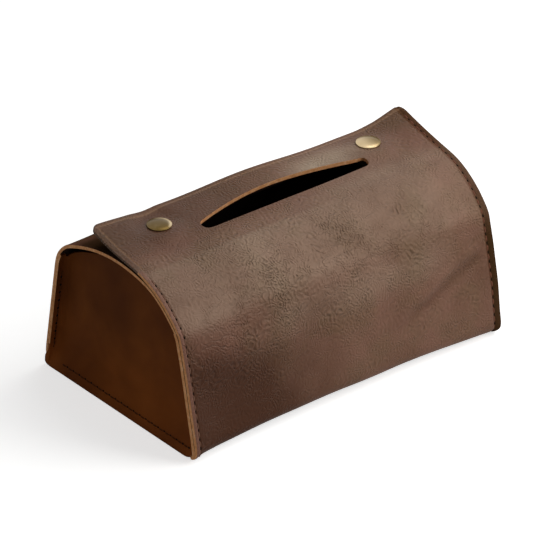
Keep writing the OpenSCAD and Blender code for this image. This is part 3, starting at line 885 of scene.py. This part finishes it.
def build_back_leather():
    to_bay = HALF_LENGTH - BAY_HALF
    columns = mirrored(MARGIN + spread(ARM_WIDTH, to_bay, 3.2) + spread(to_bay, 117.5, 3.2))
    rows = spread(0.0, FLOOR_RUN, 6.0) + spread(FLOOR_RUN, BAY_RUN, 3.0) + spread(BAY_RUN, STUD_RUN, 2.5)
    rows += spread(STUD_RUN, back_line.length, 2.6) + [back_line.length]
    bm, grid = cut_blank(columns, rows)
    remove_faces(bm, lambda c: c.y > STUD_RUN and rim_inset(c.x) > ARM_WIDTH)
    remove_faces(bm, lambda c: c.y > BAY_RUN and abs(c.x) < BAY_HALF)
    remove_faces(bm, lambda c: c.y < FLOOR_RUN and rim_inset(c.x) < 8.8)
    # On the back the left margin is paler, rubbed and with painted sheen, and the lip under the flap is
    # painted dark olive as shade
    mould(bm, back_point, {
        "creased": lambda x, run: 0.3,
        "burnish_and_sheen": lambda x, run: left_margin_share(x) * smooth((run - FLOOR_RUN) / 8),
        "dark_olive": lambda x, run: 0.8 * smooth((run - LIP_RUN) / 14),
    })
    bmesh.ops.reverse_faces(bm, faces=bm.faces)
    obj = piece("back_leather", bm, "cover", BACK)
    thicken(obj, lambda place: BACK_SHARE)
    # The cut edge of the bay under the slot takes the dark flesh side: painted shade
    refinish(obj, EDGE, FLESH_SIDE, lambda f: abs(f.center.x) < (BAY_HALF + 4) * MM)
    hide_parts("wrap")


build_back_leather()


# The end panels: a face, a bend at each side and two flanges
def panel_x(z):
    """How far the face of an end panel lies in from the rim."""
    if z >= KICK_H:
        return PANEL_RECESS
    return FOOT_INSET + (PANEL_RECESS - FOOT_INSET) * (1 - math.cos(math.pi * z / KICK_H)) / 2


def flange_y(z, front):
    """Where the inner face of a flange stands, from the front."""
    lean = math.radians(FRONT_LEAN if front else BACK_LEAN)
    depth = 2 * LEATHER + SEWN_GAP if front else (BACK_SHARE + BACK_FLANGE_SHARE) * LEATHER + SEWN_GAP
    centre, radius, side = (fold_c, SHOULDER_FOLD_R, -1) if front else (curl_c, CURL_R, 1)
    if z > centre.y + (radius - depth) * math.sin(lean):
        y = centre.x + side * math.sqrt(max(0.0, (radius - depth) ** 2 - (z - centre.y) ** 2))
    elif front:
        y = z * math.tan(lean) + depth / math.cos(lean)
    else:
        y = BASE_DEPTH - z * math.tan(lean) - depth / math.cos(lean)
    return y + side * rim_puff(z, front)


def panel_top_stations():
    """The end panels keep close under the curl, and further from the lip above."""
    stations = []
    for place, out in curl + dome[1:] + under_shoulder[1:]:
        angle = math.degrees(math.atan2(out.y, out.x))
        gap = 0.9 + (PANEL_TOP_GAP - 0.9) * smooth((angle - 24) / 30)
        stations.append((place - (LEATHER + gap) * out, out))
    return stations


panel_top_line = panel_top_stations()


def panel_top_z(y):
    """The top edge of an end panel: it follows the leather above it."""
    best = FLANGE_TOP_Z
    for (a, _), (b, _) in zip(panel_top_line, panel_top_line[1:]):
        if min(a.x, b.x) <= y <= max(a.x, b.x) and abs(a.x - b.x) > 1e-6:
            best = max(best, a.y + (b.y - a.y) * (y - a.x) / (b.x - a.x))
    return best


# Stations across a panel: (zone, share) from the front rim round to the back rim
PANEL_COLUMNS = (
    [("front_flange", t) for t in (0.0, 0.15, 0.35, 0.6, 0.85)]
    + [("front_bend", t) for t in (0.0, 0.33, 0.67)]
    + [("face", i / 44) for i in range(45)]
    + [("back_bend", t) for t in (0.33, 0.67, 1.0)]
    + [("back_flange", t) for t in (0.15, 0.35, 0.55, 0.75, 0.9, 1.0)]
)
FOOT_CORNER_R = 4.5
FOOT_FRONT_R = 2.5


def panel_place(zone, share, z):
    """The (inset, y) of a station of an end panel at height z."""
    inset = panel_x(z)
    bend = min(BEND_R, max(0.3, inset * 0.85))
    start = max(0.05, inset - bend)
    front = flange_y(z, True)
    back = flange_y(z, False)
    if zone == "front_flange":
        return start * share, front
    if zone == "face":
        return inset, front + bend + (back - front - 2 * bend) * share
    if zone != "back_flange":
        at_front = zone == "front_bend"
        across, along = turn(90 * (share if at_front else 1 - share))
        away = bend * (1 - across)
        return start + (inset - start) * along, front + away if at_front else back - away
    # The back corner of the foot is drawn out over the edge of the long leather
    drawn = smooth((13 - z) / 7)
    outer = BASE_DEPTH - z * rise(BACK_LEAN) + rim_puff(z, False) + 0.2 + 0.3 * drawn
    inset = start * (1 - share) * (1 - drawn) - 0.2 * drawn
    return inset, back + (outer - back) * drawn * share


def rounded(past, radius):
    """How far a round corner has risen, that far past its start."""
    return radius - math.sqrt(radius ** 2 - min(max(past, 0.0), radius) ** 2)


def panel_bottom_z(zone, share, y):
    """The bottom edge: flat on the table, round at the back corner, clear of the front fold."""
    over_fold = LAYER_STEP + 0.2
    if zone == "front_flange":
        return over_fold
    if zone == "front_bend":
        return over_fold - (over_fold - FOOT_FRONT_R) * share
    return (rounded(flange_y(1.0, True) + BEND_R + FOOT_FRONT_R - y, FOOT_FRONT_R)
            + rounded(y - (BASE_DEPTH + 1.1 - FOOT_CORNER_R), FOOT_CORNER_R))


def panel_thickness(place):
    """An end panel is skived thin on its back flange and at the corners of its foot."""
    y, z = place.y / MM + MID_Y, place.z / MM
    over_wrap = y < front_fold_c.x + 2 or y > back_fold_c.x - 2
    if (over_wrap and z < 4) or (z < 13 and y > flange_y(z, False) + 0.5):
        return 0.1
    return BACK_FLANGE_SHARE if y > flange_y(z, False) - 0.3 else 1.0


def build_end_panel(side, label):
    rows = [0.0, 0.02, 0.045, 0.07, 0.1, 0.135, 0.17, 0.205] + spread(0.24, 1.0, 0.033) + [1.0]
    bm, grid = cut_blank(list(range(len(PANEL_COLUMNS))), rows)
    for v in bm.verts:
        zone, share = PANEL_COLUMNS[round(v.co.x)]
        t = v.co.y
        top = 85.0
        for _ in range(8):
            top = panel_top_z(panel_place(zone, share, top)[1])
        if "flange" in zone:
            top = FLANGE_TOP_Z if zone == "front_flange" else BACK_FLANGE_TOP_Z
        elif zone == "front_bend":
            top = FLANGE_TOP_Z + (top - FLANGE_TOP_Z) * share
        elif zone == "back_bend":
            top = BACK_FLANGE_TOP_Z + (top - BACK_FLANGE_TOP_Z) * smooth((1 - share) * 2.5)
        low = panel_bottom_z(zone, share, panel_place(zone, share, 1.0)[1])
        z = low + (top - low) * t
        inset, y = panel_place(zone, share, z)
        if zone == "face":
            edge = min(share, 1 - share) * 100
            inset -= 0.7 * rolling(y, z, 5.0 + side, 60.0) * smooth(edge / 14) * smooth((z - 12) / 16)
            inset += 0.3 * bump(z - 5.8, 0.9) - 0.25 * bump(z - 3.0, 2.4)
        v.co = placed(side * (HALF_LENGTH - inset), y, z)
    if side < 0:
        bmesh.ops.reverse_faces(bm, faces=bm.faces)
    obj = piece(label + "_end_leather", bm, "cover", (LEATHER_END, FLESH, CUT_EDGE))
    thicken(obj, panel_thickness, outer_crease=0.95)
    # Only the flanges show a raw edge; the top and the back corner of the foot take the end leather
    back_foot_y = placed(0.0, BASE_DEPTH - 14, 0.0).y
    refinish(obj, EDGE, GRAIN_SIDE, lambda f: abs(f.normal.x) < 0.6 or (
        f.center.z < 16 * MM and f.center.y > back_foot_y))
    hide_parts(label + "_end_panel")


for side, label in SIDES:
    build_end_panel(side, label)


# The tabs of the bottom, turned up inside the end panels
def build_tab(side, label):
    """A tab, bent along its profile of (inset, height) seen from the end."""
    profile = [(14.0, 0.0), (11.0, 0.0), (8.0, 0.0), (5.6, 0.0), (4.5, 0.5), (4.2, 1.6)]
    profile += [(panel_x(z) + LAYER_STEP, z) for z in (3.0, 4.5, 6.0, 7.5, TAB_H)]
    columns = spread(front_fold_c.x + 1, back_fold_c.x - 1, 4.0) + [back_fold_c.x - 1]
    bm, grid = cut_blank(columns, list(range(len(profile))))
    for v in bm.verts:
        inset, z = profile[round(v.co.y)]
        v.co = placed(side * (HALF_LENGTH - inset), v.co.x, z)
    if side < 0:
        bmesh.ops.reverse_faces(bm, faces=bm.faces)
    thicken(piece(label + "_bottom_tab", bm, "cover", OUTER))


for side, label in SIDES:
    build_tab(side, label)


# Stitches
def add_stitch(bm, holes, start, end, up):
    """One stitch: a waxed thread that bellies up between two awl holes."""
    along = end - start
    length = along.length
    across = up.cross(along).normalized()
    basis = Matrix((along.normalized(), across, up.normalized())).transposed().to_4x4()
    middle = (start + end) / 2 + up.normalized() * 0.2 * MM
    # The thread, and at its start a flat dark spot: painted shade in the awl hole
    for mesh, place, rings, size in ((bm, middle, 6, (length * 0.33, 0.55 * MM, 0.4 * MM, 1.0)),
                                     (holes, start, 5, (1.05 * MM, 0.85 * MM, 0.3 * MM, 1.0))):
        bmesh.ops.create_uvsphere(mesh, u_segments=8, v_segments=rings, radius=1.0,
                                  matrix=Matrix.Translation(place) @ basis @ Matrix.Diagonal(size))


def sew(name, stations, thread=THREAD, body="cover"):
    """Thread and holes along stations of (point, outward direction), one stitch apart."""
    threads, holes = bmesh.new(), bmesh.new()
    for (start, out_a), (end, out_b) in zip(stations, stations[1:]):
        add_stitch(threads, holes, start, end, (out_a + out_b).normalized())
    made = []
    for suffix, bm, material in (("thread", threads, thread), ("holes", holes, HOLE)):
        made.append(piece(name + "_" + suffix, bm, body, (material,)))
    return made


def seam_station(surface, x, run, step=0.5):
    """A point on a sewn surface and the way it faces, from three near points."""
    point = surface(x, run)
    across = surface(x + step, run) - surface(x - step, run)
    along = surface(x, run + step) - surface(x, run - step)
    return point, across.cross(along).normalized()


def every(pitch, start, end):
    """Places that far apart, from start up to, but without, end."""
    return [start + i * pitch for i in range(math.ceil((end - start) / pitch))]


def outer_seams():
    covered = front_line.run_where(lambda p: p.x >= 50.5)
    to_corner = FREE_RUN - 4
    for side, label in SIDES:
        front_end = covered if side < 0 else to_corner
        runs = every(STITCH_PITCH, 7.0, front_end)
        insets = [seam_inset(side, front_line.at(r)[0].y) for r in runs]
        stations = [seam_station(front_point, side * (HALF_LENGTH - i), r) for i, r in zip(insets, runs)]
        for obj in sew(label + "_front_seam", stations, PALE_THREAD if side < 0 else THREAD, None):
            blend_at_hinge(obj)
        x = side * (HALF_LENGTH - LEFT_SEAM_INSET)
        runs = every(STITCH_PITCH, FLOOR_RUN + 10.0, CURL_RUN - 4)
        stations = [seam_station(back_point, x, r) for r in runs]
        sew(label + "_back_seam", [(p, -o) for p, o in stations])


def inner_seams():
    """The same stitches where they show on the flanges and at the foot of each end panel."""
    for side, label in SIDES:
        outward = Vector((side, 0.0, 0.0))
        x = side * (HALF_LENGTH - FLANGE_SEAM_INSET)
        for where, degrees, inward in (("front", FRONT_LEAN, 1), ("back", BACK_LEAN, -1)):
            lean = math.radians(degrees)
            facing = Vector((0.0, inward * math.cos(lean), -math.sin(lean)))
            stations = [(placed(x, flange_y(z, inward > 0), z), facing)
                        for z in every(STITCH_PITCH * math.cos(lean), 13.0, FLANGE_TOP_Z - 3)]
            sew(label + "_" + where + "_flange_seam", stations, DARK_THREAD)
        z = 5.8
        x = side * (HALF_LENGTH - panel_x(z) - 0.2)
        stations = [(placed(x, y, z), outward)
                    for y in every(STITCH_PITCH, front_fold_c.x + 3, back_fold_c.x - 2)]
        sew(label + "_foot_seam", stations, DARK_THREAD)


outer_seams()
inner_seams()


# Snaps
def build_cap(side, label):
    """A domed cap, spun from its profile, with a rolled rim."""
    profile = [(0.0, CAP_H)]
    for degrees in range(9, 90, 9):
        across, up = turn(degrees).yx
        profile.append(((CAP_R - CAP_RIM) * across ** 0.92, CAP_RIM + (CAP_H - CAP_RIM) * up ** 1.15))
    for degrees in range(60, -91, -30):
        across, up = turn(degrees)
        profile.append((CAP_R - CAP_RIM + CAP_RIM * across, CAP_RIM + CAP_RIM * up))
    profile.append((0.0, 0.0))
    bm = bmesh.new()
    ring = [bm.verts.new((r * MM, 0.0, z * MM)) for r, z in profile]
    edges = [bm.edges.new(pair) for pair in zip(ring, ring[1:])]
    bmesh.ops.spin(bm, geom=ring + edges, cent=(0, 0, 0), axis=(0, 0, 1), angle=2 * math.pi,
                   steps=48, use_merge=True)
    bmesh.ops.remove_doubles(bm, verts=bm.verts, dist=1e-6)
    bmesh.ops.recalc_face_normals(bm, faces=bm.faces)
    # A glint is painted on each cap: over the right cap's side toward the middle of the flap, and as a
    # crescent on the left cap's rim on that side
    layer = bm.verts.layers.float.new("painted_glint")
    for v in bm.verts:
        out = math.hypot(v.co.x, v.co.y) / (CAP_R * MM)
        toward = 0.5 - 0.5 * side * v.co.x / (CAP_R * MM)
        if side > 0:
            v[layer] = smooth((toward - 0.1) / 0.8)
        else:
            v[layer] = smooth((out - 0.62) / 0.3) * smooth((toward - 0.55) / 0.4)
    bmesh.ops.translate(bm, verts=bm.verts, vec=placed(side * SNAP_X, SNAP_Y, SEAT_Z))
    obj = piece(label + "_domed_cap", bm, "flap", (LIT_BRASS if side > 0 else SHADED_BRASS,))
    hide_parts(label + "_snap_cap")


for side, label in SIDES:
    build_cap(side, label)
for name, obj in nodes.items():
    finish = STEEL if "spring" in name else BRASS if "snap" in name else LEATHER_OUT
    obj.data.materials.clear()
    obj.data.materials.append(finish)


# Floor, light and camera
WHITE = (1.0, 1.0, 1.0, 1.0)


def build_floor():
    bm = bmesh.new()
    bmesh.ops.create_grid(bm, x_segments=2, y_segments=2, size=3.0)
    # The floor lies a hair lower, so that its face and the leather's don't share a plane
    bmesh.ops.translate(bm, verts=bm.verts, vec=(0.0, 0.0, -0.2 * MM))
    floor = piece("floor", bm)
    material, tree, shader, _ = new_material(
        "pale_floor", {"Base Color": linear("#f4f4f2"), "Roughness": 0.9})
    floor.data.materials.append(material)
    # The camera sees the floor white, and it throws no more light on the object for that
    glow = add(tree, "Emission", {"Color": WHITE, "Strength": 0.64})
    seen = add(tree, "LightPath")
    both = add(tree, "AddShader", {0: shader, 1: glow})
    pick = add(tree, "MixShader", {"Fac": (seen, "Is Camera Ray"), 1: shader, 2: both})
    feed(tree, tree.nodes["Material Output"], {"Surface": pick})


def build_world():
    world = bpy.data.worlds.new("studio")
    bpy.context.scene.world = world
    world.use_nodes = True
    tree = world.node_tree
    tree.nodes.clear()
    seen = add(tree, "LightPath")
    fill = add(tree, "Background", {"Color": WHITE, "Strength": 0.15})
    white = add(tree, "Background", {"Color": WHITE, "Strength": 1.0})
    seen_or_mirrored = calc(tree, "ADD", (seen, "Is Camera Ray"), (seen, "Is Glossy Ray"))
    any_ray = calc(tree, "MAXIMUM", seen_or_mirrored, (seen, "Is Transmission Ray"))
    pick = add(tree, "MixShader", {"Fac": any_ray, 1: fill, 2: white})
    add(tree, "OutputWorld", {"Surface": pick})


def add_lamp(name, place, target, size, power):
    data = bpy.data.lights.new(name, "AREA")
    data.shape = "RECTANGLE"
    data.size, data.size_y = size
    data.energy = power
    lamp = in_scene(name, data)
    lamp.location = place
    aim = Vector(target) - Vector(place)
    lamp.rotation_euler = aim.to_track_quat("-Z", "Y").to_euler()


def build_camera():
    azimuth, elevation = math.radians(-38.979), math.radians(30.092)
    turned = Euler((math.pi / 2 - elevation, 0.0, azimuth)).to_matrix()
    place = placed(0.0, 73.0, 50.0) + turned @ Vector((-1.712, 3.353, 3404.0)) * MM
    data = bpy.data.cameras.new("camera")
    data.sensor_fit = "HORIZONTAL"
    data.sensor_width = 36.0
    data.lens = 363.8
    data.clip_start, data.clip_end = 0.1, 50.0
    camera = in_scene("camera", data)
    camera.matrix_world = Matrix.LocRotScale(place, turned, None)
    bpy.context.scene.camera = camera


build_floor()
build_world()
add_lamp("wide_overhead", (0.55, -0.05, 0.95), (0.0, -0.02, 0.09), (0.8, 1.0), 4.2)
add_lamp("front_softbox", (0.40, -0.50, 0.60), (0.0, -0.03, 0.07), (0.45, 0.45), 1.8)
add_lamp("low_front_softbox", (0.55, -0.75, 0.45), (0.0, -0.05, 0.06), (0.5, 0.4), 1.95)
build_camera()
bpy.context.scene.view_settings.view_transform = "Standard"
